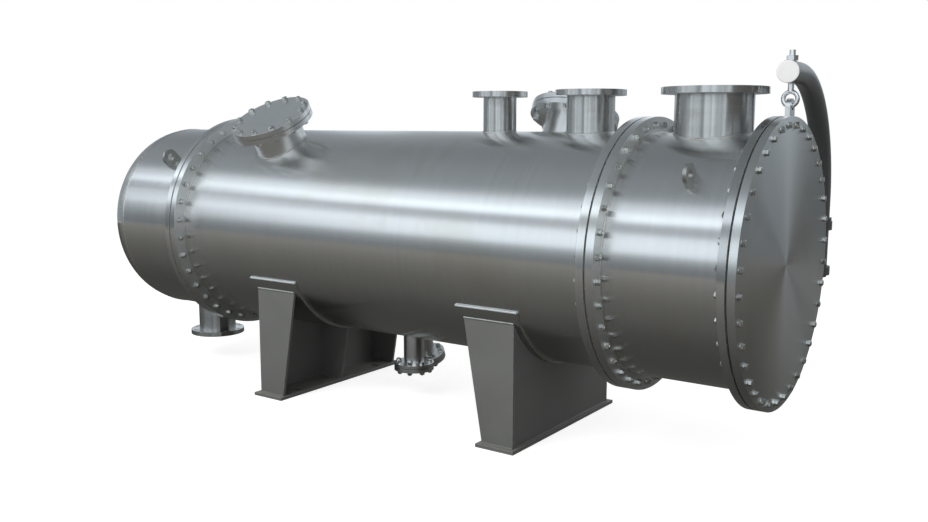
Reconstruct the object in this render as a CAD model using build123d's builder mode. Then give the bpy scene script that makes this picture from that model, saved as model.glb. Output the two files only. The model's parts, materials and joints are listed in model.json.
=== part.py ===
from build123d import *
import os
from math import atan2, cos, degrees, radians, sin, sqrt

# Horizontal shell-and-tube heat exchanger on two saddles, with a hinged channel cover.
# Origin: centre of the fixed saddle's base plate, underside. +X is the cover end, +Z is up.
# The near side is -Y.

# Vessel
shell_od = 1064
shell_wall = 10
axis_height = 870
cover_face_x = 1095
channel_length = 496
shell_length = 2446
skirt_length = 467
head_crown_share = 0.9
head_knuckle_share = 0.17
seat_gap = 0.2
overrun = 20

# Girth flanges
girth_rim = 68
girth_bolt_inset = 34
girth_bolt_count = 36
girth_bolt_hole = 18
cover_thickness = 32
channel_flange_thickness = 32
girth_flange_thickness = 35
tubesheet_thickness = 36
raised_face_margin = 20
raised_face_height = 2.5
cover_gasket_thickness = 2.7
cover_seat_clearance = 0.3
girth_gap = 8

# Nozzle necks and flanges
dn100_neck_od = 108
dn100_neck_wall = 5
dn100_flange_od = 210
dn100_flange_thickness = 18
dn100_bolt_inset = 20
dn100_bolt_count = 8
dn150_neck_od = 159
dn150_neck_wall = 6
dn150_flange_od = 265
dn150_flange_thickness = 26
dn150_bolt_inset = 20
dn150_bolt_count = 8
dn200_neck_od = 219
dn200_neck_wall = 7
dn200_flange_od = 320
dn200_flange_thickness = 26
dn200_bolt_inset = 20
dn200_bolt_count = 8
dn250_neck_od = 273
dn250_neck_wall = 8
dn250_flange_od = 430
dn250_flange_thickness = 26
dn250_bolt_inset = 25
dn250_bolt_count = 12
dn300_neck_od = 325
dn300_neck_wall = 8
dn300_flange_od = 440
dn300_flange_thickness = 28
dn300_bolt_inset = 22.5
dn300_bolt_count = 12
small_bolt_hole = 18
large_bolt_hole = 22
blind_rim_gap = 3
blind_face_margin = 24

# Nozzles: height above the vessel's round, lean from straight up, and station as a share of the length
open_nozzle_height = 188
blind_nozzle_height = 132
drain_nozzle_height = 170
far_drain_nozzle_height = 233
channel_nozzle_share = 0.514
inlet_nozzle_share = 0.1047
far_blind_share = 0.2
vent_nozzle_share = 0.3038
near_blind_share = 0.8025
outlet_nozzle_share = 0.66
drain_nozzle_share = 0.579
far_drain_share = 0.661
near_lean_angle = 29
far_lean_angle = -25
drain_lean_angle = 180
far_drain_lean_angle = 200

# Lifting lugs
lug_width = 90
lug_height = 78
lug_thickness = 16
lug_hole = 40
lug_elevation_angle = 42
channel_lug_share = 0.381
bonnet_lug_share = 0.351

# Saddles
saddle_spacing_share = 0.5846
base_inset = 88
base_width = 200
base_thickness = 16
saddle_plate = 14
outer_ledge = 20
end_ledge = 30
rib_foot = 165
rib_head = 264
wear_thickness = 10
wear_margin = 30
wear_half_angle = 64
anchor_hole = 28
anchor_slot = 60
anchor_inset = 168

# Cover davit
post_setback = 50
post_rim_gap = 60
davit_od = 88.9
davit_wall = 6
davit_bend_share = 0.85
davit_rise = 172
davit_tip = 60
davit_cap = 8
post_tail = 10
ear_height = 40
ear_drop = 85
ear_od = 116
ear_plate = 20
ear_clearance = 0.6
collar_od = 108
collar_height = 16
eye_bar = 18
eye_ring_od = 74
eye_shank = 24
eye_rise = 67
eye_tail = 42
eye_nut = 40
eye_nut_height = 20
eye_hole_clearance = 1
eye_slack = 3
cover_lug_thickness = 20
cover_lug_width = 64
cover_lug_hole = 28

shell_r = shell_od / 2
shell_ir = shell_r - shell_wall
girth_r = shell_r + girth_rim
girth_bolt_r = girth_r - girth_bolt_inset
raised_face_r = girth_bolt_r - raised_face_margin
cover_gap = 2 * raised_face_height + cover_gasket_thickness + cover_seat_clearance
cover_back_x = cover_face_x - cover_thickness
channel_flange_face_x = cover_back_x - cover_gap
channel_front_x = channel_flange_face_x - channel_flange_thickness
channel_back_x = channel_front_x - channel_length
front_joint_x = channel_back_x - girth_flange_thickness
front_tubesheet_x = front_joint_x - girth_gap
shell_front_x = front_tubesheet_x - tubesheet_thickness
shell_back_x = shell_front_x - shell_length
rear_joint_x = shell_back_x - tubesheet_thickness
bonnet_flange_x = rear_joint_x - girth_gap
skirt_front_x = bonnet_flange_x - girth_flange_thickness
skirt_back_x = skirt_front_x - skirt_length
saddle_spacing = saddle_spacing_share * shell_length
channel_nozzle_x = channel_front_x - channel_nozzle_share * channel_length
inlet_nozzle_x = shell_front_x - inlet_nozzle_share * shell_length
far_blind_x = shell_front_x - far_blind_share * shell_length
vent_nozzle_x = shell_front_x - vent_nozzle_share * shell_length
near_blind_x = shell_front_x - near_blind_share * shell_length
outlet_nozzle_x = skirt_front_x - outlet_nozzle_share * skirt_length
drain_nozzle_x = -drain_nozzle_share * saddle_spacing
far_drain_x = -far_drain_share * saddle_spacing

os.makedirs("parts", exist_ok=True)


def station(x):
    # Plane across the vessel at x: local x is +Y, local y is +Z, its normal is +X
    return Plane(origin=(x, 0, axis_height), x_dir=(0, 1, 0), z_dir=(1, 0, 0))


def radial_plane(x, lean):
    # Plane on the vessel's axis whose normal leans from straight up towards the near side
    direction = (0, -sin(radians(lean)), cos(radians(lean)))
    return Plane(origin=(x, 0, axis_height), x_dir=(1, 0, 0), z_dir=direction)


def write(piece, node):
    piece.part.label = node
    export_step(piece.part, f"parts/{node}.step")


def cut_vessel(x, half_length, radius):
    # Takes the vessel's round out of the piece that is being built
    with BuildSketch(station(x)) as round_section:
        Circle(radius)
    extrude(round_section.sketch, amount=half_length, both=True, mode=Mode.SUBTRACT)


def cut_girth_holes(x, depth):
    with BuildSketch(station(x)) as bolt_holes:
        with PolarLocations(girth_bolt_r, girth_bolt_count, start_angle=180 / girth_bolt_count):
            Circle(girth_bolt_hole / 2)
    extrude(bolt_holes.sketch, amount=depth, both=True, mode=Mode.SUBTRACT)


def girth_ring(x, thickness, bore_r, face_x, face_height):
    # Flange ring from x towards +X, with a raised face that stands face_height along X from face_x
    with BuildPart() as ring:
        with BuildSketch(station(x)):
            Circle(girth_r)
            if bore_r > 0:
                Circle(bore_r, mode=Mode.SUBTRACT)
        extrude(amount=thickness)
        with BuildSketch(station(face_x)):
            Circle(raised_face_r)
            if bore_r > 0:
                Circle(bore_r, mode=Mode.SUBTRACT)
        extrude(amount=face_height)
        cut_girth_holes(x, thickness + overrun)
    return ring


# Channel cover, gasket and flanges
write(girth_ring(cover_back_x, cover_thickness, 0, cover_back_x, -raised_face_height), "channel_cover")
write(
    girth_ring(
        channel_front_x, channel_flange_thickness, shell_ir, channel_flange_face_x, raised_face_height
    ),
    "channel_front_flange",
)
write(
    girth_ring(front_joint_x, girth_flange_thickness, shell_ir, front_joint_x, -girth_gap / 2),
    "channel_rear_flange",
)
write(
    girth_ring(shell_front_x, tubesheet_thickness, 0, front_tubesheet_x, girth_gap / 2),
    "front_tubesheet",
)
write(
    girth_ring(rear_joint_x, tubesheet_thickness, 0, rear_joint_x, -girth_gap / 2),
    "rear_tubesheet",
)
write(
    girth_ring(skirt_front_x, girth_flange_thickness, shell_ir, bonnet_flange_x, girth_gap / 2),
    "bonnet_flange",
)

with BuildPart() as cover_gasket:
    with BuildSketch(station(channel_flange_face_x + raised_face_height)):
        Circle(raised_face_r)
        Circle(shell_ir, mode=Mode.SUBTRACT)
    extrude(amount=cover_gasket_thickness)
write(cover_gasket, "cover_gasket")


def cut_nozzle_hole(x, lean, neck_od, neck_wall):
    with BuildSketch(radial_plane(x, lean)) as bore:
        Circle(neck_od / 2 - neck_wall)
    extrude(bore.sketch, amount=shell_r + overrun, mode=Mode.SUBTRACT)


def barrel(x, length, holes):
    # Rolled cylinder from x towards +X, with the holes of its nozzles
    with BuildPart() as tube:
        with BuildSketch(station(x)):
            Circle(shell_r)
            Circle(shell_ir, mode=Mode.SUBTRACT)
        extrude(amount=length)
        for hole in holes:
            cut_nozzle_hole(*hole)
    return tube


# Channel, shell and bonnet barrels
channel_holes = [(channel_nozzle_x, 0, dn300_neck_od, -seat_gap)]
shell_holes = [
    (inlet_nozzle_x, 0, dn200_neck_od, dn200_neck_wall),
    (vent_nozzle_x, 0, dn150_neck_od, dn150_neck_wall),
    (near_blind_x, near_lean_angle, dn250_neck_od, dn250_neck_wall),
    (far_blind_x, far_lean_angle, dn250_neck_od, dn250_neck_wall),
    (drain_nozzle_x, drain_lean_angle, dn100_neck_od, dn100_neck_wall),
    (far_drain_x, far_drain_lean_angle, dn100_neck_od, dn100_neck_wall),
]
skirt_holes = [(outlet_nozzle_x, drain_lean_angle, dn200_neck_od, dn200_neck_wall)]
write(barrel(channel_back_x, channel_length, channel_holes), "channel_shell")
write(barrel(shell_back_x, shell_length, shell_holes), "shell")
write(barrel(skirt_back_x, skirt_length, skirt_holes), "bonnet_skirt")

# Dished end of the bonnet: a crown arc on the axis and a knuckle arc tangent to it and to the skirt
head_crown_r = head_crown_share * shell_od
head_knuckle_r = head_knuckle_share * shell_od
crown_centre = sqrt((head_crown_r - head_knuckle_r) ** 2 - (shell_r - head_knuckle_r) ** 2)
join_angle = degrees(atan2(shell_r - head_knuckle_r, -crown_centre))
head_plane = Plane(origin=(skirt_back_x, 0, axis_height), x_dir=(1, 0, 0), z_dir=(0, -1, 0))
with BuildPart() as bonnet_head:
    with BuildSketch(head_plane):
        with BuildLine():
            for inset in (0, shell_wall):
                CenterArc((0, shell_r - head_knuckle_r), head_knuckle_r - inset, 90, join_angle - 90)
                CenterArc((crown_centre, 0), head_crown_r - inset, join_angle, 180 - join_angle)
            Line((crown_centre - head_crown_r, 0), (crown_centre - head_crown_r + shell_wall, 0))
            Line((0, shell_ir), (0, shell_r))
        make_face()
    revolve(axis=Axis((0, 0, axis_height), (1, 0, 0)))
write(bonnet_head, "bonnet_head")


def nozzle(x, lean, reach, neck_od, neck_wall, flange_od, thickness, bolt_circle, bolt_count, hole):
    # Neck welded on the vessel's round, with its flange's face at reach from the vessel's axis
    axis_plane = radial_plane(x, lean)
    with BuildPart() as piece:
        with BuildSketch(axis_plane.offset(shell_ir / 2)):
            Circle(neck_od / 2)
        extrude(amount=reach - shell_ir / 2)
        with BuildSketch(axis_plane.offset(reach - thickness)):
            Circle(flange_od / 2)
        extrude(amount=thickness)
        with BuildSketch(axis_plane):
            Circle(neck_od / 2 - neck_wall)
        extrude(amount=reach + overrun, mode=Mode.SUBTRACT)
        with BuildSketch(axis_plane.offset(reach)):
            with PolarLocations(bolt_circle / 2, bolt_count, start_angle=180 / bolt_count):
                Circle(hole / 2)
        extrude(amount=-thickness, mode=Mode.SUBTRACT)
        cut_vessel(x, neck_od, shell_r + seat_gap)
    return piece


def set_in_neck(x, lean, reach, neck_od, neck_wall):
    # Neck that passes through the vessel's wall and ends flush inside
    with BuildPart() as piece:
        with BuildSketch(radial_plane(x, lean).offset(shell_ir / 2)):
            Circle(neck_od / 2)
            Circle(neck_od / 2 - neck_wall, mode=Mode.SUBTRACT)
        extrude(amount=reach - shell_ir / 2)
        cut_vessel(x, neck_od, shell_ir)
    return piece


def slip_flange(x, lean, reach, neck_od, flange_od, thickness, bolt_circle, bolt_count, hole):
    # Plate flange round the end of a neck
    with BuildPart() as piece:
        with BuildSketch(radial_plane(x, lean).offset(reach)):
            Circle(flange_od / 2)
            Circle(neck_od / 2 + seat_gap, mode=Mode.SUBTRACT)
            with PolarLocations(bolt_circle / 2, bolt_count, start_angle=180 / bolt_count):
                Circle(hole / 2, mode=Mode.SUBTRACT)
        extrude(amount=-thickness)
    return piece


def blind(x, lean, reach, flange_od, thickness, bolt_circle, bolt_count, hole):
    # Blind flange on a nozzle's face, with a raised middle that keeps the rims apart
    axis_plane = radial_plane(x, lean)
    with BuildPart() as piece:
        with BuildSketch(axis_plane.offset(reach)):
            Circle(bolt_circle / 2 - blind_face_margin)
        extrude(amount=blind_rim_gap)
        with BuildSketch(axis_plane.offset(reach + blind_rim_gap)):
            Circle(flange_od / 2)
        extrude(amount=thickness)
        with BuildSketch(axis_plane.offset(reach + blind_rim_gap)):
            with PolarLocations(bolt_circle / 2, bolt_count, start_angle=180 / bolt_count):
                Circle(hole / 2)
        extrude(amount=thickness, mode=Mode.SUBTRACT)
    return piece


dn100 = (dn100_neck_od, dn100_neck_wall, dn100_flange_od, dn100_flange_thickness)
dn100_bolts = (dn100_flange_od - 2 * dn100_bolt_inset, dn100_bolt_count, small_bolt_hole)
dn150 = (dn150_neck_od, dn150_neck_wall, dn150_flange_od, dn150_flange_thickness)
dn150_bolts = (dn150_flange_od - 2 * dn150_bolt_inset, dn150_bolt_count, small_bolt_hole)
dn200 = (dn200_neck_od, dn200_neck_wall, dn200_flange_od, dn200_flange_thickness)
dn200_bolts = (dn200_flange_od - 2 * dn200_bolt_inset, dn200_bolt_count, small_bolt_hole)
dn250 = (dn250_neck_od, dn250_neck_wall, dn250_flange_od, dn250_flange_thickness)
dn250_bolts = (dn250_flange_od - 2 * dn250_bolt_inset, dn250_bolt_count, large_bolt_hole)
dn300 = (dn300_neck_od, dn300_neck_wall, dn300_flange_od, dn300_flange_thickness)
dn300_bolts = (dn300_flange_od - 2 * dn300_bolt_inset, dn300_bolt_count, large_bolt_hole)

# Channel inlet: the widest nozzle is set into the wall, with a slip-on flange
open_reach = shell_r + open_nozzle_height
write(set_in_neck(channel_nozzle_x, 0, open_reach, *dn300[:2]), "channel_nozzle")
write(
    slip_flange(channel_nozzle_x, 0, open_reach, dn300_neck_od, *dn300[2:], *dn300_bolts),
    "channel_slip_flange",
)

# Open nozzles set on the wall: two on top of the shell, and the bonnet's outlet
open_nozzles = [
    ("shell_inlet_nozzle", inlet_nozzle_x, 0, dn200, dn200_bolts),
    ("shell_vent_nozzle", vent_nozzle_x, 0, dn150, dn150_bolts),
    ("bonnet_outlet_nozzle", outlet_nozzle_x, drain_lean_angle, dn200, dn200_bolts),
]
for node, x, lean, sizes, bolts in open_nozzles:
    write(nozzle(x, lean, open_reach, *sizes, *bolts), node)

# Blinded nozzles: one each side high on the shell, two under it
blinded_nozzles = [
    ("near_blind", near_blind_x, near_lean_angle, blind_nozzle_height, dn250, dn250_bolts),
    ("far_blind", far_blind_x, far_lean_angle, blind_nozzle_height, dn250, dn250_bolts),
    ("drain", drain_nozzle_x, drain_lean_angle, drain_nozzle_height, dn100, dn100_bolts),
    ("far_drain", far_drain_x, far_drain_lean_angle, far_drain_nozzle_height, dn100, dn100_bolts),
]
for name, x, lean, height, sizes, bolts in blinded_nozzles:
    blind_node = name if name.endswith("blind") else f"{name}_blind"
    write(nozzle(x, lean, shell_r + height, *sizes, *bolts), f"{name}_nozzle")
    write(blind(x, lean, shell_r + height, *sizes[2:], *bolts), blind_node)


def lifting_lug(x, side):
    # Eye plate across the vessel, rounded at the top, its foot cut to the round
    tip_r = lug_width / 2
    hole_centre = shell_r + lug_height - tip_r
    direction = (0, side * cos(radians(lug_elevation_angle)), sin(radians(lug_elevation_angle)))
    plane = Plane(origin=(x - lug_thickness / 2, 0, axis_height), x_dir=direction, z_dir=(1, 0, 0))
    with BuildPart() as piece:
        with BuildSketch(plane):
            with Locations((hole_centre / 2 + shell_ir / 2, 0)):
                Rectangle(hole_centre - shell_ir, lug_width)
            with Locations((hole_centre, 0)):
                Circle(tip_r)
                Circle(lug_hole / 2, mode=Mode.SUBTRACT)
        extrude(amount=lug_thickness)
        cut_vessel(x, lug_thickness, shell_r + seat_gap)
    return piece


channel_lug_x = channel_front_x - channel_lug_share * channel_length
bonnet_lug_x = skirt_front_x - bonnet_lug_share * skirt_length
for end, x in (("channel", channel_lug_x), ("bonnet", bonnet_lug_x)):
    write(lifting_lug(x, -1), f"{end}_lug_near")
    write(lifting_lug(x, 1), f"{end}_lug_far")

# Saddles: the upright outer side carries the web, the ribs taper on the inner side
wear_ir = shell_r + seat_gap
wear_or = wear_ir + wear_thickness
base_length = shell_od - base_inset
anchor_spacing = base_length - 2 * anchor_inset
rib_face_y = base_length / 2 - end_ledge
rib_top_z = axis_height - sqrt(wear_or**2 - rib_face_y**2)
web_x = base_width / 2 - outer_ledge


def saddle_rib(base_x, outward, y, inset):
    # Tapered upright plate on the XZ plane whose outer edge stands inset behind the web's face
    edge = base_x + outward * (web_x - inset)
    foot = base_x + outward * (web_x - rib_foot)
    head = base_x + outward * (web_x - rib_head)
    plane = Plane(origin=(0, y - saddle_plate / 2, 0), x_dir=(1, 0, 0), z_dir=(0, -1, 0))
    with BuildPart() as piece:
        with BuildSketch(plane):
            with BuildLine():
                Polyline(
                    (edge, base_thickness),
                    (edge, rib_top_z),
                    (head, rib_top_z),
                    (foot, base_thickness),
                    close=True,
                )
            make_face()
        extrude(amount=-saddle_plate)
        cut_vessel(base_x, base_width + rib_head, wear_or + seat_gap)
    return piece


def saddle_web(base_x, outward):
    web_half = rib_face_y - saddle_plate
    web_height = rib_top_z - base_thickness
    with BuildPart() as piece:
        with BuildSketch(station(base_x + outward * (web_x - saddle_plate / 2))):
            with Locations((0, base_thickness + web_height / 2 - axis_height)):
                Rectangle(2 * web_half, web_height)
            Circle(wear_or + seat_gap, mode=Mode.SUBTRACT)
        extrude(amount=saddle_plate / 2, both=True)
    return piece


def saddle_wear_plate(base_x, outward):
    outer_end = base_x + outward * (web_x + wear_margin)
    length = rib_head + 2 * wear_margin
    with BuildPart() as piece:
        with BuildSketch(station(outer_end)):
            with BuildLine():
                CenterArc((0, 0), wear_or, -90 - wear_half_angle, 2 * wear_half_angle)
                CenterArc((0, 0), wear_ir, -90 - wear_half_angle, 2 * wear_half_angle)
                for angle in (-90 - wear_half_angle, -90 + wear_half_angle):
                    PolarLine((wear_ir * cos(radians(angle)), wear_ir * sin(radians(angle))), wear_thickness, angle)
            make_face()
        extrude(amount=-outward * length)
    return piece


def saddle_base(base_x, outward, slot):
    hole_x = base_x + outward * (web_x - saddle_plate - rib_foot) / 2
    with BuildPart() as piece:
        with BuildSketch():
            with Locations((base_x, 0)):
                Rectangle(base_width, base_length)
            with Locations((hole_x, -anchor_spacing / 2), (hole_x, anchor_spacing / 2)):
                if slot > 0:
                    SlotOverall(slot, anchor_hole, mode=Mode.SUBTRACT)
                else:
                    Circle(anchor_hole / 2, mode=Mode.SUBTRACT)
        extrude(amount=base_thickness)
    return piece


for end, base_x, outward, slot in (("front", 0, 1, 0), ("rear", -saddle_spacing, -1, anchor_slot)):
    rib_y = rib_face_y - saddle_plate / 2
    write(saddle_base(base_x, outward, slot), f"{end}_saddle_base")
    write(saddle_web(base_x, outward), f"{end}_saddle_web")
    write(saddle_wear_plate(base_x, outward), f"{end}_saddle_wear_plate")
    write(saddle_rib(base_x, outward, -rib_y, 0), f"{end}_saddle_rib_near")
    write(saddle_rib(base_x, outward, 0, saddle_plate), f"{end}_saddle_rib_mid")
    write(saddle_rib(base_x, outward, rib_y, 0), f"{end}_saddle_rib_far")

# Cover davit: the arm turns in two ears on the channel flange and carries the cover by an eye bolt
davit_r = davit_od / 2
post_x = cover_face_x - post_setback
post_y = girth_r + post_rim_gap
post_foot = ear_drop + ear_height + post_tail
eye_x = cover_face_x - cover_thickness / 2
arm_z = axis_height + girth_r + davit_rise
arm_length = sqrt((eye_x - post_x) ** 2 + post_y**2)
arm_direction = ((eye_x - post_x) / arm_length, -post_y / arm_length, 0)
arm_side = (-post_y / arm_length, (post_x - eye_x) / arm_length, 0)
davit_plane = Plane(origin=(post_x, post_y, 0), x_dir=arm_direction, z_dir=arm_side)
ear_top_z = axis_height + ear_drop + ear_height
arm_tip_plane = Plane(
    origin=(
        post_x + arm_direction[0] * (arm_length + davit_tip),
        post_y + arm_direction[1] * (arm_length + davit_tip),
        arm_z,
    ),
    z_dir=arm_direction,
)

with BuildPart() as davit_arm:
    with BuildLine(davit_plane):
        path = FilletPolyline(
            (0, axis_height - post_foot),
            (0, arm_z),
            (arm_length + davit_tip, arm_z),
            radius=davit_bend_share * post_y,
        )
    with BuildSketch(Plane(origin=(post_x, post_y, axis_height - post_foot))):
        Circle(davit_r)
        Circle(davit_r - davit_wall, mode=Mode.SUBTRACT)
    sweep(path=path)
    with BuildSketch(arm_tip_plane):
        Circle(davit_r)
    extrude(amount=-davit_cap)
    with BuildSketch(Plane(origin=(post_x, post_y, ear_top_z + seat_gap))):
        Circle(collar_od / 2)
        Circle(davit_r - davit_wall, mode=Mode.SUBTRACT)
    extrude(amount=collar_height)
    with BuildSketch(Plane(origin=(eye_x, 0, arm_z))):
        Circle(eye_shank / 2 + eye_hole_clearance)
    extrude(amount=davit_r + overrun, both=True, mode=Mode.SUBTRACT)
write(davit_arm, "davit_arm")


def davit_ear(bottom_z):
    # Bored ring round the post on a plate that runs to the channel flange's rim
    plate_x = channel_front_x + channel_flange_thickness / 2
    with BuildPart() as piece:
        with BuildSketch(Plane.XY.offset(bottom_z)):
            with Locations((post_x, post_y)):
                Circle(ear_od / 2)
        extrude(amount=ear_height)
        with BuildSketch(Plane.XY.offset(bottom_z + ear_height / 2)):
            with Locations((plate_x, (girth_r + post_y) / 2 - overrun)):
                Rectangle(channel_flange_thickness, post_y - girth_r + 2 * overrun)
        extrude(amount=ear_plate / 2, both=True)
        with BuildSketch(Plane.XY.offset(bottom_z)):
            with Locations((post_x, post_y)):
                Circle(davit_r + ear_clearance)
        extrude(amount=ear_height, mode=Mode.SUBTRACT)
        cut_vessel(plate_x, channel_flange_thickness, girth_r + seat_gap)
    return piece


write(davit_ear(axis_height + ear_drop), "davit_ear_upper")
write(davit_ear(axis_height - ear_drop - ear_height), "davit_ear_lower")

# Eye bolt through the arm, and the lug on the cover's rim that it holds
eye_centre_z = axis_height + girth_r + eye_rise
eye_ring_r = (eye_ring_od - eye_bar) / 2
with BuildPart() as davit_eyebolt:
    with BuildSketch(Plane(origin=(eye_x, 0, eye_centre_z), x_dir=(0, 1, 0), z_dir=(-1, 0, 0))):
        with Locations((0, eye_ring_r)):
            Circle(eye_bar / 2)
    revolve(axis=Axis((eye_x, 0, eye_centre_z), (0, 1, 0)))
    with BuildSketch(Plane(origin=(eye_x, 0, eye_centre_z + eye_ring_r))):
        Circle(eye_shank / 2)
    extrude(amount=arm_z + davit_r + eye_tail - eye_centre_z - eye_ring_r)
    with BuildSketch(Plane(origin=(eye_x, 0, arm_z + davit_r + seat_gap))):
        RegularPolygon(eye_nut / 2, 6, major_radius=False)
    extrude(amount=eye_nut_height)
write(davit_eyebolt, "davit_eyebolt")

lug_hole_z = eye_centre_z - eye_ring_r + eye_bar / 2 + eye_slack - cover_lug_hole / 2
with BuildPart() as cover_lug:
    with BuildSketch(station(eye_x - cover_lug_thickness / 2)):
        with Locations((0, (lug_hole_z - axis_height + girth_r) / 2 - overrun / 2)):
            Rectangle(cover_lug_width, lug_hole_z - axis_height - girth_r + overrun)
        with Locations((0, lug_hole_z - axis_height)):
            Circle(cover_lug_width / 2)
            Circle(cover_lug_hole / 2, mode=Mode.SUBTRACT)
    extrude(amount=cover_lug_thickness)
    cut_vessel(eye_x, cover_lug_thickness, girth_r + seat_gap)
write(cover_lug, "cover_lug")
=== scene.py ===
import json
import math

import bmesh
import bpy
from mathutils import Matrix, Vector


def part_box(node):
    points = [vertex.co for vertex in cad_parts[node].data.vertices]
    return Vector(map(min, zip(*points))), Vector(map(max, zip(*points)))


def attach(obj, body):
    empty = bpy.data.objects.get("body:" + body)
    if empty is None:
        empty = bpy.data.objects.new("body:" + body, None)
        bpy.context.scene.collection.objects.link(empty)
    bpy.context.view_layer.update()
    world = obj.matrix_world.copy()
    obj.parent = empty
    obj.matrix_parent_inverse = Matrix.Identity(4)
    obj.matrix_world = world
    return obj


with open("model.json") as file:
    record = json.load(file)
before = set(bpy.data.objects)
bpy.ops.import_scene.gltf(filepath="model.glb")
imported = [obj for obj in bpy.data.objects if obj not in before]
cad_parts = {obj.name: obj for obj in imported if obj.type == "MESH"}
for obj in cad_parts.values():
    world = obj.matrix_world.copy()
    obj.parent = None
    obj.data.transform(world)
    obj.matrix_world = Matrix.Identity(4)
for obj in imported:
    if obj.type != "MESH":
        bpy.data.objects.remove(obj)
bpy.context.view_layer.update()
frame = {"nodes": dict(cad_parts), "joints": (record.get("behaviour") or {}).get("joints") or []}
nodes = frame["nodes"]
scene = bpy.context.scene
scene.view_settings.view_transform = "Standard"
print("frame loaded:", len(nodes), "nodes")


def middle(node):
    low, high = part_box(node)
    return (low + high) / 2


def extent(node):
    low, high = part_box(node)
    return high - low


axisZ = middle("shell").z  # the vessel's axis runs along X at this height
shellRadius = extent("shell").z / 2
girthRadius = extent("channel_cover").z / 2
# degrees from straight up
sideLeans = {"near_blind": 29, "far_blind": -25, "drain_blind": 180, "far_drain_blind": 200}


# camera at the photograph's place, fitted to the vessel
photoCamera = {
    "place": (2.2105, -3.8676, 1.4357), "yaw": 35.067, "pitch": -8.219, "roll": 0.084, "lens": 36.73
}


def makeCamera(spec):
    data = bpy.data.cameras.new("photoCamera")
    data.lens = spec["lens"]
    data.sensor_width = 36
    turn = Matrix.Rotation(math.radians(spec["yaw"]), 4, "Z")
    turn = turn @ Matrix.Rotation(math.radians(90 + spec["pitch"]), 4, "X")
    turn = turn @ Matrix.Rotation(math.radians(spec["roll"]), 4, "Z")
    camera = bpy.data.objects.new("photoCamera", data)
    camera.matrix_world = Matrix.Translation(spec["place"]) @ turn
    scene.collection.objects.link(camera)
    scene.camera = camera


makeCamera(photoCamera)
print("camera set")


def put(tree, kind, inputs=None, **settings):
    node = tree.nodes.new(kind)
    for name, value in settings.items():
        setattr(node, name, value)
    for name, value in (inputs or {}).items():
        if isinstance(value, bpy.types.NodeSocket):
            tree.links.new(value, node.inputs[name])
        else:
            node.inputs[name].default_value = value
    return node


def maths(tree, operation, *values, clamp=False):
    node = put(tree, "ShaderNodeMath", dict(enumerate(values)), operation=operation, use_clamp=clamp)
    return node.outputs[0]


def blend(tree, factor, first, second):
    return put(tree, "ShaderNodeMix", {"Factor": factor, 6: first, 7: second}, data_type="RGBA").outputs[2]


def shaderGroup(name, inputs, outputs):
    tree = bpy.data.node_groups.new(name, "ShaderNodeTree")
    for label, kind, value in inputs:
        socket = tree.interface.new_socket(label, in_out="INPUT", socket_type=kind)
        if value is not None:
            socket.default_value = value
    for label, kind in outputs:
        tree.interface.new_socket(label, in_out="OUTPUT", socket_type=kind)
    return tree, tree.nodes.new("NodeGroupInput"), tree.nodes.new("NodeGroupOutput")


def brushGroup():
    # fine lines across the Lines direction, with longer, fainter streaks among them
    tree, given, out = shaderGroup(
        "brushLines",
        [("Vector", "NodeSocketVector", None), ("Lines", "NodeSocketVector", (1, 1, 1)),
         ("Depth", "NodeSocketFloat", 1.0)],
        [("Shade", "NodeSocketFloat"), ("Height", "NodeSocketFloat")],
    )
    stretched = put(
        tree, "ShaderNodeVectorMath", {0: given.outputs["Vector"], 1: given.outputs["Lines"]},
        operation="MULTIPLY",
    )
    fine = put(
        tree, "ShaderNodeTexNoise",
        {"Vector": stretched.outputs[0], "Scale": 1.0, "Detail": 3.0, "Roughness": 0.6},
    )
    wide = put(tree, "ShaderNodeTexNoise", {"Vector": stretched.outputs[0], "Scale": 0.17, "Detail": 2.0})
    both = maths(tree, "ADD", fine.outputs["Fac"], wide.outputs["Fac"])
    centred = maths(tree, "SUBTRACT", both, 1.0)
    deep = maths(tree, "MULTIPLY", centred, given.outputs["Depth"])
    tree.links.new(deep, out.inputs["Shade"])
    tree.links.new(fine.outputs["Fac"], out.inputs["Height"])
    return tree


def smudgeGroup():
    # broad, soft patches such as handling marks and uneven pickling leave
    tree, given, out = shaderGroup(
        "handlingMarks",
        [
            ("Vector", "NodeSocketVector", None), ("Size", "NodeSocketFloat", 3.0),
            ("Depth", "NodeSocketFloat", 1.0),
        ],
        [("Shade", "NodeSocketFloat"), ("Mask", "NodeSocketFloat")],
    )
    patch = put(
        tree, "ShaderNodeTexNoise",
        {
            "Vector": given.outputs["Vector"], "Scale": given.outputs["Size"], "Detail": 5.0,
            "Roughness": 0.55, "Distortion": 0.6,
        },
    )
    centred = maths(tree, "SUBTRACT", patch.outputs["Fac"], 0.5)
    deep = maths(tree, "MULTIPLY", centred, given.outputs["Depth"])
    mask = put(
        tree, "ShaderNodeMapRange", {"Value": patch.outputs["Fac"], "From Min": 0.52, "From Max": 0.72},
        interpolation_type="SMOOTHSTEP",
    )
    tree.links.new(deep, out.inputs["Shade"])
    tree.links.new(mask.outputs[0], out.inputs["Mask"])
    return tree


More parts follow.
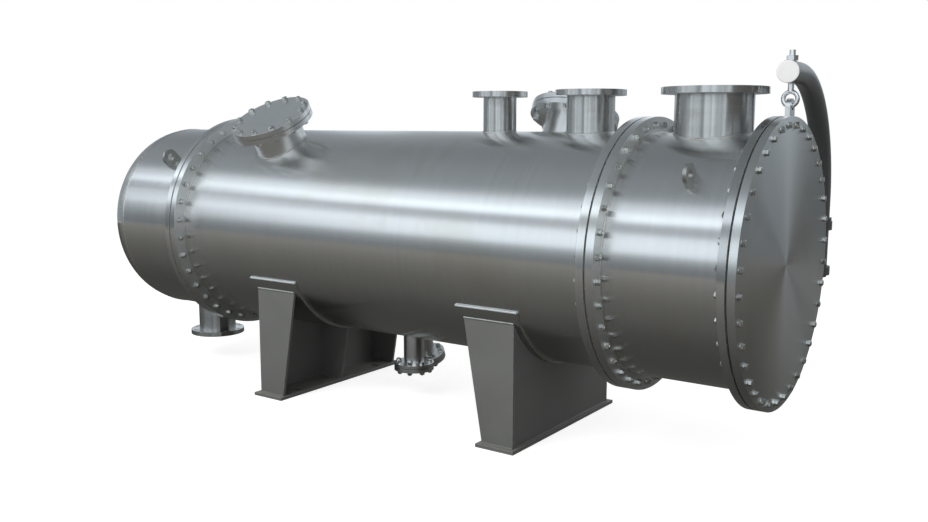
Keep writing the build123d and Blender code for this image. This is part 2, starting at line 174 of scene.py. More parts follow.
def edgeGroup():
    # mask of plate edges, broken up by noise: where a rounded normal leaves the true one
    tree, given, out = shaderGroup(
        "rubbedEdges",
        [("Vector", "NodeSocketVector", None), ("Width", "NodeSocketFloat", 0.004)],
        [("Mask", "NodeSocketFloat"), ("Normal", "NodeSocketVector")],
    )
    rounded = put(tree, "ShaderNodeBevel", {"Radius": given.outputs["Width"]}, samples=6)
    plain = put(tree, "ShaderNodeNewGeometry")
    same = put(
        tree, "ShaderNodeVectorMath", {0: rounded.outputs["Normal"], 1: plain.outputs["Normal"]},
        operation="DOT_PRODUCT",
    )
    edge = put(
        tree, "ShaderNodeMapRange", {"Value": same.outputs["Value"], "From Min": 0.995, "From Max": 0.86}
    )
    edgeBreakup = put(
        tree, "ShaderNodeTexNoise", {"Vector": given.outputs["Vector"], "Scale": 38.0, "Detail": 4.0}
    )
    broken = put(
        tree, "ShaderNodeMapRange", {"Value": edgeBreakup.outputs["Fac"], "From Min": 0.36, "From Max": 0.62}
    )
    mask = maths(tree, "MULTIPLY", edge.outputs[0], broken.outputs[0])
    tree.links.new(mask, out.inputs["Mask"])
    tree.links.new(rounded.outputs["Normal"], out.inputs["Normal"])
    return tree


def dustGroup():
    # dust that settles on faces that look up
    tree, given, out = shaderGroup(
        "settledDust",
        [("Vector", "NodeSocketVector", None), ("Amount", "NodeSocketFloat", 0.3)],
        [("Mask", "NodeSocketFloat")],
    )
    face = put(tree, "ShaderNodeNewGeometry")
    parts = put(tree, "ShaderNodeSeparateXYZ", {0: face.outputs["Normal"]})
    upward = put(
        tree, "ShaderNodeMapRange", {"Value": parts.outputs["Z"], "From Min": 0.45, "From Max": 1.0}
    )
    grain = put(
        tree, "ShaderNodeTexNoise", {"Vector": given.outputs["Vector"], "Scale": 14.0, "Detail": 6.0}
    )
    patchy = maths(tree, "MULTIPLY", upward.outputs[0], grain.outputs["Fac"])
    mask = maths(tree, "MULTIPLY", patchy, given.outputs["Amount"], clamp=True)
    tree.links.new(mask, out.inputs["Mask"])
    return tree


brushLines = brushGroup()
handlingMarks = smudgeGroup()
rubbedEdges = edgeGroup()
settledDust = dustGroup()


def newMaterial(name):
    material = bpy.data.materials.new(name)
    material.use_nodes = True
    tree = material.node_tree
    shader = tree.nodes["Principled BSDF"]
    place = put(tree, "ShaderNodeTexCoord")
    return material, tree, shader, place.outputs["Object"]


def shaded(tree, colour, *shades):
    # the colour times one plus each shade
    total = None
    for shade in shades:
        total = shade if total is None else maths(tree, "ADD", total, shade)
    bright = maths(tree, "ADD", total, 1.0)
    scaled = put(tree, "ShaderNodeVectorMath", {0: colour, "Scale": bright}, operation="SCALE")
    return scaled.outputs[0]


# shared by all finishes: the shades swing the roughness, reliefs are depths in metres,
# and a face turns flat between faceFrom and faceTo of its normal along X
finishSpec = {
    "steelSwing": 0.35, "lineRelief": 0.0004, "paintedReflectionGain": 0.7, "faceFrom": 0.6, "faceTo": 0.8,
    "paintSwing": 0.4, "peelScale": 260.0, "peelRelief": 0.0006, "peelStrength": 0.18,
}


def steelMaterial(name, spec):
    material, tree, shader, where = newMaterial(name)
    lines = put(
        tree, "ShaderNodeGroup", {"Vector": where, "Lines": spec["lines"], "Depth": spec["lineDepth"]},
        node_tree=brushLines,
    )
    marks = put(
        tree, "ShaderNodeGroup", {"Vector": where, "Size": spec["markSize"], "Depth": spec["markDepth"]},
        node_tree=handlingMarks,
    )
    tint = blend(tree, marks.outputs["Mask"], (*spec["colour"], 1), (*spec["dull"], 1))
    colour = shaded(tree, tint, lines.outputs["Shade"], marks.outputs["Shade"])
    rough = maths(tree, "ADD", lines.outputs["Shade"], marks.outputs["Shade"])
    rough = maths(tree, "MULTIPLY_ADD", rough, finishSpec["steelSwing"], spec["roughness"])
    tree.links.new(rough, shader.inputs["Roughness"])
    bump = put(
        tree, "ShaderNodeBump",
        {"Height": lines.outputs["Height"], "Strength": spec["bump"], "Distance": finishSpec["lineRelief"]},
    )
    if spec.get("edge"):
        edges = put(
            tree, "ShaderNodeGroup", {"Vector": where, "Width": spec["edge"]}, node_tree=rubbedEdges
        )
        tree.links.new(edges.outputs["Normal"], bump.inputs["Normal"])
    tree.links.new(bump.outputs["Normal"], shader.inputs["Normal"])
    shader.inputs["Metallic"].default_value = 1.0
    if spec.get("faceRoughness"):
        face = put(tree, "ShaderNodeNewGeometry")
        parts = put(tree, "ShaderNodeSeparateXYZ", {0: face.outputs["Normal"]})
        flat = maths(tree, "ABSOLUTE", parts.outputs["X"])
        onFace = put(
            tree, "ShaderNodeMapRange",
            {"Value": flat, "From Min": finishSpec["faceFrom"], "From Max": finishSpec["faceTo"]},
        )
        duller = put(
            tree, "ShaderNodeMix", {"Factor": onFace.outputs[0], 2: rough, 3: spec["faceRoughness"]},
            data_type="FLOAT",
        )
        tree.links.new(duller.outputs[0], shader.inputs["Roughness"])
        # on flat faces the finish is rougher, and their paler colour is a painted reflection
        colour = blend(tree, onFace.outputs[0], colour, (*spec["faceReflectionColour"], 1))
    # painted reflection: steel seen in a reflection gets a paler colour, which stands in for light going to
    # and fro between polished plates
    ray = put(tree, "ShaderNodeLightPath")
    gain = maths(tree, "MULTIPLY_ADD", ray.outputs["Is Glossy Ray"], finishSpec["paintedReflectionGain"], 1.0)
    lit = put(tree, "ShaderNodeVectorMath", {0: colour, "Scale": gain}, operation="SCALE")
    tree.links.new(lit.outputs[0], shader.inputs["Base Color"])
    if spec.get("turned"):
        around = put(tree, "ShaderNodeTangent", direction_type="RADIAL", axis=spec["turned"])
        tree.links.new(around.outputs["Tangent"], shader.inputs["Tangent"])
        shader.inputs["Anisotropic"].default_value = spec["stretch"]
        shader.inputs["Anisotropic Rotation"].default_value = 0.25
    return material


def paintMaterial(name, spec):
    material, tree, shader, where = newMaterial(name)
    marks = put(
        tree, "ShaderNodeGroup", {"Vector": where, "Size": spec["markSize"], "Depth": spec["markDepth"]},
        node_tree=handlingMarks,
    )
    edges = put(tree, "ShaderNodeGroup", {"Vector": where, "Width": spec["edge"]}, node_tree=rubbedEdges)
    dust = put(tree, "ShaderNodeGroup", {"Vector": where, "Amount": spec["dust"]}, node_tree=settledDust)
    base = shaded(tree, spec["colour"], marks.outputs["Shade"])
    # a second colour along plate edges, broken up by noise
    edgedBase = blend(tree, edges.outputs["Mask"], base, (*spec["edgeColour"], 1))
    dusty = blend(tree, dust.outputs["Mask"], edgedBase, (*spec["dustColour"], 1))
    tree.links.new(dusty, shader.inputs["Base Color"])
    rough = maths(tree, "MULTIPLY_ADD", marks.outputs["Shade"], finishSpec["paintSwing"], spec["roughness"])
    tree.links.new(rough, shader.inputs["Roughness"])
    peel = put(
        tree, "ShaderNodeTexNoise", {"Vector": where, "Scale": finishSpec["peelScale"], "Detail": 2.0}
    )
    bump = put(tree, "ShaderNodeBump", {
        "Height": peel.outputs["Fac"], "Strength": finishSpec["peelStrength"],
        "Distance": finishSpec["peelRelief"], "Normal": edges.outputs["Normal"],
    })
    tree.links.new(bump.outputs["Normal"], shader.inputs["Normal"])
    return material


barrelSteelSpec = {  # rolled plate, brushed round the vessel
    "colour": (0.43, 0.43, 0.425), "dull": (0.4, 0.395, 0.375), "roughness": 0.22,
    "lines": (420, 5, 5), "lineDepth": 0.1, "markSize": 2.2, "markDepth": 0.14, "bump": 0.05,
    "turned": "X", "stretch": 1.0,
}
bonnetSteelSpec = dict(barrelSteelSpec, roughness=0.18, colour=(0.41, 0.41, 0.405))
coverSteelSpec = {  # flat plate turned on a lathe
    "colour": (0.4, 0.405, 0.4), "dull": (0.37, 0.37, 0.35), "roughness": 0.3,
    "lines": (260, 6, 6), "lineDepth": 0.1, "markSize": 3.0, "markDepth": 0.12, "bump": 0.06,
    "turned": "X", "stretch": 0.96, "edge": 0.002,
}
ringSteelSpec = {  # girth rings and tubesheets, turned and polished
    "colour": (0.42, 0.42, 0.415), "dull": (0.38, 0.378, 0.36), "roughness": 0.15,
    "lines": (260, 6, 6), "lineDepth": 0.12, "markSize": 4.0, "markDepth": 0.14, "bump": 0.05,
    "turned": "X", "stretch": 0.4, "edge": 0.002,
    # the flat faces' paler colour is a painted reflection
    "faceRoughness": 0.5, "faceReflectionColour": (0.52, 0.52, 0.51),
}
uprightSteelSpec = {  # upright necks and flanges, brushed round their own axis
    "colour": (0.36, 0.36, 0.355), "dull": (0.31, 0.307, 0.29), "roughness": 0.24,
    "lines": (7, 7, 380), "lineDepth": 0.14, "markSize": 5.0, "markDepth": 0.16, "bump": 0.06,
    "turned": "Z", "stretch": 1.0, "edge": 0.0015,
}
satinSteelSpec = {  # leaning nozzles, blinds and drains
    "colour": (0.52, 0.52, 0.515), "dull": (0.45, 0.447, 0.43), "roughness": 0.3,
    "lines": (90, 90, 140), "lineDepth": 0.1, "markSize": 5.0, "markDepth": 0.16, "bump": 0.08,
    "edge": 0.0015,
}
# lifting eyes, left as cut
lugSteelSpec = dict(satinSteelSpec, colour=(0.31, 0.305, 0.29), dull=(0.22, 0.21, 0.19), roughness=0.38)
nutSteelSpec = {
    "colour": (0.42, 0.42, 0.41), "dull": (0.3, 0.295, 0.28), "roughness": 0.27,
    "lines": (300, 300, 300), "lineDepth": 0.2, "markSize": 24.0, "markDepth": 0.3, "bump": 0.06,
}
tubeSteelSpec = {
    "colour": (0.5, 0.48, 0.45), "dull": (0.36, 0.33, 0.29), "roughness": 0.34,
    "lines": (30, 260, 260), "lineDepth": 0.2, "markSize": 9.0, "markDepth": 0.3, "bump": 0.05,
}
weldSteelSpec = {
    "colour": (0.4, 0.39, 0.37), "dull": (0.31, 0.27, 0.22), "roughness": 0.33,
    "lines": (160, 160, 160), "lineDepth": 0.22, "markSize": 12.0, "markDepth": 0.35, "bump": 0.2,
}
# paler beads along the wear plates' tops
paleTopWeldSpec = {
    "colour": (0.57, 0.57, 0.56), "dull": (0.46, 0.45, 0.43), "roughness": 0.42,
    "lines": (160, 160, 160), "lineDepth": 0.14, "markSize": 14.0, "markDepth": 0.2, "bump": 0.15,
}
zincSteelSpec = {
    "colour": (0.55, 0.55, 0.55), "dull": (0.42, 0.42, 0.41), "roughness": 0.33,
    "lines": (200, 200, 200), "lineDepth": 0.18, "markSize": 18.0, "markDepth": 0.3, "bump": 0.1,
    "edge": 0.0012,
}
saddlePaintSpec = {
    "colour": (0.15, 0.153, 0.146), "edgeColour": (0.34, 0.345, 0.33), "dustColour": (0.36, 0.34, 0.3),
    "roughness": 0.46, "markSize": 4.0, "markDepth": 0.3, "edge": 0.0035, "dust": 0.5,
}
davitPaintSpec = {
    "colour": (0.075, 0.077, 0.076), "edgeColour": (0.2, 0.2, 0.195), "dustColour": (0.22, 0.21, 0.19),
    "roughness": 0.38, "markSize": 6.0, "markDepth": 0.3, "edge": 0.002, "dust": 0.3,
}
gasketSpec = {
    "colour": (0.028, 0.028, 0.028), "edgeColour": (0.06, 0.06, 0.058), "dustColour": (0.1, 0.095, 0.09),
    "roughness": 0.7, "markSize": 12.0, "markDepth": 0.4, "edge": 0.0008, "dust": 0.2,
}
boreShadeSpec = {  # painted shade: the dark inside a long tube, seen from its end
    "colour": (0.012, 0.012, 0.012), "edgeColour": (0.03, 0.03, 0.03), "dustColour": (0.05, 0.048, 0.045),
    "roughness": 0.8, "markSize": 30.0, "markDepth": 0.5, "edge": 0.0008, "dust": 0.1,
}
capPaintSpec = {
    "colour": (0.95, 0.95, 0.94), "edgeColour": (0.6, 0.6, 0.59), "dustColour": (0.5, 0.48, 0.44),
    "roughness": 0.42, "markSize": 20.0, "markDepth": 0.12, "edge": 0.0015, "dust": 0.1,
}
barrelSteel = steelMaterial("barrelSteel", barrelSteelSpec)
bonnetSteel = steelMaterial("bonnetSteel", bonnetSteelSpec)
coverSteel = steelMaterial("coverSteel", coverSteelSpec)
ringSteel = steelMaterial("ringSteel", ringSteelSpec)
uprightSteel = steelMaterial("uprightSteel", uprightSteelSpec)
satinSteel = steelMaterial("satinSteel", satinSteelSpec)
lugSteel = steelMaterial("lugSteel", lugSteelSpec)
nutSteel = steelMaterial("nutSteel", nutSteelSpec)
tubeSteel = steelMaterial("tubeSteel", tubeSteelSpec)
weldSteel = steelMaterial("weldSteel", weldSteelSpec)
groundWeld = steelMaterial("groundWeld", paleTopWeldSpec)
zincSteel = steelMaterial("zincSteel", zincSteelSpec)
saddlePaint = paintMaterial("saddlePaint", saddlePaintSpec)
davitPaint = paintMaterial("davitPaint", davitPaintSpec)
gasketSheet = paintMaterial("gasketSheet", gasketSpec)
boreShade = paintMaterial("boreShade", boreShadeSpec)
capPaint = paintMaterial("capPaint", capPaintSpec)

uprightNozzles = (
    "channel_nozzle", "channel_slip_flange", "shell_inlet_nozzle", "shell_vent_nozzle",
    "bonnet_outlet_nozzle",
)
for name, part in nodes.items():
    if name in ("shell", "channel_shell") or name.endswith("wear_plate"):
        finish = barrelSteel
    elif name in ("bonnet_skirt", "bonnet_head"):
        finish = bonnetSteel
    elif name in uprightNozzles:
        finish = uprightSteel
    elif name.endswith(("flange", "tubesheet")):
        finish = ringSteel
    elif name == "channel_cover":
        finish = coverSteel
    elif name == "cover_gasket":
        finish = gasketSheet
    elif "saddle" in name and "wear" not in name:
        finish = saddlePaint
    elif name in ("davit_arm", "davit_ear_upper", "davit_ear_lower"):
        finish = davitPaint
    elif "_lug_" in name:
        finish = lugSteel
    elif name in ("davit_eyebolt", "cover_lug"):
        finish = zincSteel
    else:
        finish = satinSteel
    part.material_slots[0].material = finish
print("finishes:", len(bpy.data.materials), "materials on", len(nodes), "nodes")


def nodeTree(name, inputs):
    tree = bpy.data.node_groups.new(name, "GeometryNodeTree")
    tree.interface.new_socket("Geometry", in_out="INPUT", socket_type="NodeSocketGeometry")
    for label, kind, value in inputs:
        socket = tree.interface.new_socket(label, in_out="INPUT", socket_type=kind)
        if value is not None:
            socket.default_value = value
    tree.interface.new_socket("Geometry", in_out="OUTPUT", socket_type="NodeSocketGeometry")
    return tree, tree.nodes.new("NodeGroupInput"), tree.nodes.new("NodeGroupOutput")


def runTree(tree, start, values):
    # evaluates the tree on a start mesh and gives back a plain mesh
    holder = bpy.data.objects.new(tree.name, start)
    scene.collection.objects.link(holder)
    modifier = holder.modifiers.new("nodes", "NODES")
    modifier.node_group = tree
    for socket in tree.interface.items_tree:
        if socket.item_type == "SOCKET" and socket.in_out == "INPUT" and socket.name in values:
            modifier[socket.identifier] = values[socket.name]
    graph = bpy.context.evaluated_depsgraph_get()
    mesh = bpy.data.meshes.new_from_object(holder.evaluated_get(graph))
    holder.modifiers.remove(modifier)
    bpy.data.objects.remove(holder)
    return mesh


def joined(name, meshes):
    whole = bmesh.new()
    for mesh in meshes:
        whole.from_mesh(mesh)
    result = bpy.data.meshes.new(name)
    whole.to_mesh(result)
    whole.free()
    for material in meshes[0].materials:
        result.materials.append(material)
    return result


def addPiece(name, mesh, body):
    piece = bpy.data.objects.new(name, mesh)
    scene.collection.objects.link(piece)
    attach(piece, body)
    return piece


def facing(direction, start, across):
    # matrix that puts local Z along direction and local X near across
    z = Vector(direction).normalized()
    y = z.cross(Vector(across)).normalized()
    x = y.cross(z)
    turn = Matrix((x, y, z)).transposed().to_4x4()
    return Matrix.Translation(start) @ turn


nutShares = {  # of the width across flats, and of the stud's radius
    "chamfer": 0.06, "crownTop": 0.4, "crownBottom": 0.49, "studTip": 0.86,
}


def nutTree():
    # a ring of washers, hex nuts and stud ends that stand along local Z
    tree, given, out = nodeTree("nutRing", [
        ("Circle", "NodeSocketFloat", 0.5), ("Count", "NodeSocketInt", 8),
        ("Flats", "NodeSocketFloat", 0.03), ("Nut Height", "NodeSocketFloat", 0.018),
        ("Stud", "NodeSocketFloat", 0.01), ("Tip", "NodeSocketFloat", 0.005),
        ("Washer", "NodeSocketFloat", 0.018), ("Washer Height", "NodeSocketFloat", 0.003),
        ("Seed", "NodeSocketInt", 1), ("Finish", "NodeSocketMaterial", None),
    ])
    value = given.outputs

    def lifted(shape, height):
        offset = put(tree, "ShaderNodeCombineXYZ", {"Z": height})
        return put(
            tree, "GeometryNodeTransform", {"Geometry": shape, "Translation": offset.outputs[0]}
        ).outputs[0]

    nutRadius = maths(tree, "MULTIPLY", value["Flats"], 1 / math.sqrt(3))
    nutBase = value["Washer Height"]
    nutTop = maths(tree, "ADD", nutBase, value["Nut Height"])
    chamfer = maths(tree, "MULTIPLY", value["Flats"], nutShares["chamfer"])
    washer = put(
        tree, "GeometryNodeMeshCylinder",
        {"Vertices": 18, "Radius": value["Washer"], "Depth": value["Washer Height"]},
    )
    nut = put(
        tree, "GeometryNodeMeshCylinder", {"Vertices": 6, "Radius": nutRadius, "Depth": value["Nut Height"]}
    )
    crown = put(tree, "GeometryNodeMeshCone", {
        "Vertices": 12, "Radius Top": maths(tree, "MULTIPLY", value["Flats"], nutShares["crownTop"]),
        "Radius Bottom": maths(tree, "MULTIPLY", value["Flats"], nutShares["crownBottom"]),
        "Depth": chamfer,
    })
    stud = put(tree, "GeometryNodeMeshCone", {
        "Vertices": 10, "Radius Top": maths(tree, "MULTIPLY", value["Stud"], nutShares["studTip"]),
        "Radius Bottom": value["Stud"], "Depth": value["Tip"],
    })
    nutMiddle = maths(tree, "ADD", nutBase, maths(tree, "MULTIPLY", value["Nut Height"], 0.5))
    shapes = [
        lifted(washer.outputs["Mesh"], maths(tree, "MULTIPLY", value["Washer Height"], 0.5)),
        lifted(nut.outputs["Mesh"], nutMiddle),
        lifted(crown.outputs["Mesh"], nutTop),
        lifted(stud.outputs["Mesh"], nutTop),
    ]
    join = put(tree, "GeometryNodeJoinGeometry")
    for shape in shapes:
        tree.links.new(shape, join.inputs[0])
    ring = put(tree, "GeometryNodeMeshCircle", {"Vertices": value["Count"], "Radius": value["Circle"]})
    turn = put(tree, "FunctionNodeRandomValue", {"Seed": value["Seed"]}, data_type="FLOAT")
    turn.inputs[3].default_value = math.pi / 3
    angle = put(tree, "ShaderNodeCombineXYZ", {"Z": turn.outputs[1]})
    rotation = put(tree, "FunctionNodeEulerToRotation", {0: angle.outputs[0]})
    nuts = put(
        tree, "GeometryNodeInstanceOnPoints",
        {"Points": ring.outputs[0], "Instance": join.outputs[0], "Rotation": rotation.outputs[0]},
    )
    real = put(tree, "GeometryNodeRealizeInstances", {0: nuts.outputs[0]})
    done = put(tree, "GeometryNodeSetMaterial", {"Geometry": real.outputs[0], "Material": value["Finish"]})
    tree.links.new(done.outputs[0], out.inputs[0])
    return tree


nutRing = nutTree()
girthNuts = {
    "count": 36, "inset": 0.034, "flats": 0.024, "height": 0.0125, "stud": 0.0078, "tip": 0.004,
    "washer": 0.0145, "washerHeight": 0.002,
}
coverHeads = dict(girthNuts, height=0.0095, stud=0.0085, tip=0.0008)  # hex heads of the cover's bolts
blindNuts = {
    "flats": 0.027, "height": 0.012, "stud": 0.0088, "tip": 0.003, "washer": 0.0165, "washerHeight": 0.002
}
drainNuts = {
    "flats": 0.023, "height": 0.011, "stud": 0.0076, "tip": 0.004, "washer": 0.0135, "washerHeight": 0.002
}


def nutsAt(spec, circle, count, seed, direction, start, across):
    values = {
        "Circle": circle, "Count": count, "Flats": spec["flats"], "Nut Height": spec["height"],
        "Stud": spec["stud"], "Tip": spec["tip"], "Washer": spec["washer"],
        "Washer Height": spec["washerHeight"], "Seed": seed, "Finish": nutSteel,
    }
    mesh = runTree(nutRing, bpy.data.meshes.new("start"), values)
    mesh.transform(facing(direction, start, across))
    return mesh


def girthRing(node, side, seed, spec=girthNuts):
    # nuts on one face of a girth flange: side is +1 for its +X face
    low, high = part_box(node)
    x = high.x if side > 0 else low.x
    halfPitch = math.pi / spec["count"]
    across = Vector((0, math.cos(halfPitch), math.sin(halfPitch)))
    return nutsAt(
        spec, girthRadius - spec["inset"], spec["count"], seed, (side, 0, 0), (x, 0, axisZ), across
    )


coverMeshes = [girthRing("channel_cover", 1, 1, coverHeads)]
addPiece("cover_nuts", joined("cover_nuts", coverMeshes), "cover")
jointNuts = [
    girthRing("channel_front_flange", -1, 2), girthRing("channel_rear_flange", 1, 3),
    girthRing("front_tubesheet", -1, 4), girthRing("rear_tubesheet", 1, 5),
    girthRing("bonnet_flange", -1, 6),
]
addPiece("girth_nuts", joined("girth_nuts", jointNuts), "vessel")


def leanDirection(lean):
    return Vector((0, -math.sin(math.radians(lean)), math.cos(math.radians(lean))))


def heights(node, direction):
    # lowest and highest distance of a node's points from the vessel's axis, along direction
    along = [(vertex.co - Vector((0, 0, axisZ))).dot(direction) for vertex in nodes[node].data.vertices]
    return min(along), max(along)


blindSets = {  # bolt circle inset from the flange's rim, number of bolts and depth of the nozzle's flange
    "near_blind": {
        "nozzle": "near_blind_nozzle", "inset": 0.025, "count": 12, "flange": 0.026, "nuts": blindNuts
    },
    "far_blind": {
        "nozzle": "far_blind_nozzle", "inset": 0.025, "count": 12, "flange": 0.026, "nuts": blindNuts
    },
    "drain_blind": {"nozzle": "drain_nozzle", "inset": 0.02, "count": 8, "flange": 0.018, "nuts": drainNuts},
    "far_drain_blind": {
        "nozzle": "far_drain_nozzle", "inset": 0.02, "count": 8, "flange": 0.018, "nuts": drainNuts
    },
}
outerSeed = 20  # nuts on the blinds
innerSeed = 40  # nuts behind the nozzles' flanges
blindMeshes = []
for seed, (node, spec) in enumerate(blindSets.items()):
    direction = leanDirection(sideLeans[node])
    circle = extent(node).x / 2 - spec["inset"]
    halfPitch = math.pi / spec["count"]
    sideways = Vector((1, 0, 0)).cross(direction)
    across = Vector((1, 0, 0)) * math.cos(halfPitch) + sideways * math.sin(halfPitch)
    axisPoint = Vector((middle(node).x, 0, axisZ))
    outer = heights(node, direction)[1]
    inner = heights(spec["nozzle"], direction)[1] - spec["flange"]
    for level, way, firstSeed in ((outer, direction, outerSeed), (inner, -direction, innerSeed)):
        place = axisPoint + direction * level
        blindMeshes.append(
            nutsAt(spec["nuts"], circle, spec["count"], firstSeed + seed, way, place, across)
        )
addPiece("blind_nuts", joined("blind_nuts", blindMeshes), "vessel")
print("nuts: girth joints, cover and", len(blindSets), "blinds")


def beadTree():
    # a rippled weld bead along a chain of edges
    tree, given, out = nodeTree("weldBead", [
        ("Bead", "NodeSocketFloat", 0.004), ("Step", "NodeSocketFloat", 0.008),
        ("Ripple", "NodeSocketFloat", 0.15), ("Wave", "NodeSocketFloat", 0.024),
        ("Finish", "NodeSocketMaterial", None),
    ])
    value = given.outputs
    chain = put(tree, "GeometryNodeMeshToCurve", {"Mesh": value["Geometry"]})
    even = put(
        tree, "GeometryNodeResampleCurve", {"Curve": chain.outputs[0], "Length": value["Step"]},
        mode="LENGTH",
    )
    along = put(tree, "GeometryNodeSplineParameter")
    turns = maths(tree, "DIVIDE", along.outputs["Length"], value["Wave"])
    phase = maths(tree, "MULTIPLY", turns, 2 * math.pi)
    wave = maths(tree, "SINE", phase)
    swell = maths(tree, "MULTIPLY_ADD", wave, value["Ripple"], 1.0)
    profile = put(tree, "GeometryNodeCurvePrimitiveCircle", {"Resolution": 8, "Radius": value["Bead"]})
    tube = put(
        tree, "GeometryNodeCurveToMesh",
        {"Curve": even.outputs[0], "Profile Curve": profile.outputs[0], "Scale": swell, "Fill Caps": True},
    )
    smooth = put(tree, "GeometryNodeSetShadeSmooth", {"Geometry": tube.outputs[0], "Shade Smooth": True})
    real = put(tree, "GeometryNodeRealizeInstances", {0: smooth.outputs[0]})
    done = put(tree, "GeometryNodeSetMaterial", {"Geometry": real.outputs[0], "Material": value["Finish"]})
    tree.links.new(done.outputs[0], out.inputs[0])
    return tree


weldBead = beadTree()


def chainMesh(points, closed):
    mesh = bpy.data.meshes.new("chain")
    edges = [(i, i + 1) for i in range(len(points) - 1)]
    if closed:
        edges.append((len(points) - 1, 0))
    mesh.from_pydata([tuple(p) for p in points], edges, [])
    return mesh


# the beads' radii, the ripple's shares of them, how far beads sit off the vessel's round,
# then the wear plates' half angle in degrees and the numbers of points
beadSpec = {
    "girth": 0.005, "nozzle": 0.0045, "plate": 0.004, "plateTop": 0.005, "saddle": 0.004,
    "stepShare": 1.8, "waveShare": 5.4, "ripple": 0.14,
    "headSink": 0.0025, "plateLift": 0.002, "topLift": 0.004,
    "wearAngle": 64, "segments": 96, "arcSteps": 48,
}


def bead(points, closed, width, finish):
    values = {
        "Bead": width, "Step": width * beadSpec["stepShare"], "Wave": width * beadSpec["waveShare"],
        "Ripple": beadSpec["ripple"], "Finish": finish,
    }
    return runTree(weldBead, chainMesh(points, closed), values)


def straightBead(start, end, width, finish):
    return bead([Vector(start), Vector(end)], False, width, finish)


def ringPoints(x, radius):
    turns = [2 * math.pi * i / beadSpec["segments"] for i in range(beadSpec["segments"])]
    return [Vector((x, radius * math.cos(t), axisZ + radius * math.sin(t))) for t in turns]


def neckPoints(x, neckRadius, direction):
    # where a neck of that radius meets the vessel's round
    sideways = Vector((1, 0, 0)).cross(direction)
    points = []
    for i in range(beadSpec["segments"]):
        t = 2 * math.pi * i / beadSpec["segments"]
        off = neckRadius * math.sin(t)
        rise = math.sqrt(shellRadius**2 - off**2)
        points.append(Vector((x + neckRadius * math.cos(t), 0, axisZ)) + sideways * off + direction * rise)
    return points


neckRadii = {  # neck radius and lean of each nozzle
    "channel_nozzle": (0.1625, 0), "shell_inlet_nozzle": (0.1095, 0), "shell_vent_nozzle": (0.0795, 0),
    "bonnet_outlet_nozzle": (0.1095, 180), "near_blind_nozzle": (0.1365, sideLeans["near_blind"]),
    "far_blind_nozzle": (0.1365, sideLeans["far_blind"]), "drain_nozzle": (0.054, sideLeans["drain_blind"]),
    "far_drain_nozzle": (0.054, sideLeans["far_drain_blind"]),
}
channelLow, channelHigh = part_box("channel_shell")
barrelLow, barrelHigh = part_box("shell")
skirtLow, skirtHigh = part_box("bonnet_skirt")
seamXs = (channelHigh.x, channelLow.x, barrelHigh.x, barrelLow.x, skirtHigh.x)
seams = [(x, shellRadius) for x in seamXs]
seams.append((skirtLow.x, shellRadius - beadSpec["headSink"]))
vesselBeads = [bead(ringPoints(x, radius), True, beadSpec["girth"], weldSteel) for x, radius in seams]
for node, (radius, lean) in neckRadii.items():
    neck = neckPoints(middle(node).x, radius, leanDirection(lean))
    vesselBeads.append(bead(neck, True, beadSpec["nozzle"], weldSteel))


def arcPoints(x, radius, low, high, steps):
    # points round the vessel from low to high degrees, counted from straight down
    angles = [math.radians(low + (high - low) * i / steps) for i in range(steps + 1)]
    return [Vector((x, radius * math.sin(a), axisZ - radius * math.cos(a))) for a in angles]


wearAngle = beadSpec["wearAngle"]
plateTops = []
for end in ("front", "rear"):
    low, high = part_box(f"{end}_saddle_wear_plate")
    for x in (low.x, high.x):
        radius = shellRadius + beadSpec["plateLift"]
        edge = arcPoints(x, radius, -wearAngle, wearAngle, beadSpec["arcSteps"])
        vesselBeads.append(bead(edge, False, beadSpec["plate"], weldSteel))
    for side in (-1, 1):
        angle = math.radians(side * wearAngle)
        radius = shellRadius + beadSpec["topLift"]
        y = radius * math.sin(angle)
        z = axisZ - radius * math.cos(angle)
        plateTops.append(straightBead((low.x, y, z), (high.x, y, z), beadSpec["plateTop"], groundWeld))
addPiece("vessel_welds", joined("vessel_welds", vesselBeads), "vessel")
addPiece("wear_plate_welds", joined("wear_plate_welds", plateTops), "vessel")

saddleBeads = []
ribTops = []
touch = 0.001  # points this near a plane lie on it
for end in ("front", "rear"):
    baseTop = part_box(f"{end}_saddle_base")[1].z
    webLow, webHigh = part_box(f"{end}_saddle_web")
    for x in (webLow.x, webHigh.x):
        line = (x, webLow.y, baseTop), (x, webHigh.y, baseTop)
        saddleBeads.append(straightBead(*line, beadSpec["saddle"], saddlePaint))
    for rib in ("near", "mid", "far"):
        node = f"{end}_saddle_rib_{rib}"
        low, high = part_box(node)
        ribPoints = [vertex.co for vertex in nodes[node].data.vertices]
        footXs = [p.x for p in ribPoints if p.z < baseTop + touch]
        for y in (low.y, high.y):
            line = (min(footXs), y, baseTop), (max(footXs), y, baseTop)
            saddleBeads.append(straightBead(*line, beadSpec["saddle"], saddlePaint))
        if rib != "mid":
            outerY = low.y if rib == "near" else high.y
            outerPoints = [p for p in ribPoints if abs(p.y - outerY) < touch]
            topZ = max(p.z for p in outerPoints)
            topXs = [p.x for p in outerPoints if p.z > middle(node).z]
            line = (min(topXs), outerY, topZ), (max(topXs), outerY, topZ)
            ribTops.append(straightBead(*line, beadSpec["saddle"], weldSteel))
addPiece("rib_welds", joined("rib_welds", ribTops), "vessel")
addPiece("saddle_welds", joined("saddle_welds", saddleBeads), "vessel")
print("welds:", len(vesselBeads), "on the vessel,", len(saddleBeads), "on the saddles")


def turnedMesh(name, rings, sides):
    # closed shape round local Z through rings of (radius, height)
    shape = bmesh.new()
    turns = [2 * math.pi * i / sides for i in range(sides)]
    loops = []
    for radius, z in rings:
        loops.append([shape.verts.new((radius * math.cos(t), radius * math.sin(t), z)) for t in turns])
    for first, second in zip(loops, loops[1:]):
        for i in range(sides):
            j = (i + 1) % sides
            shape.faces.new((first[i], first[j], second[j], second[i]))
    shape.faces.new(list(reversed(loops[0])))
    shape.faces.new(loops[-1])
    mesh = bpy.data.meshes.new(name)
    shape.to_mesh(mesh)
    shape.free()
    return mesh
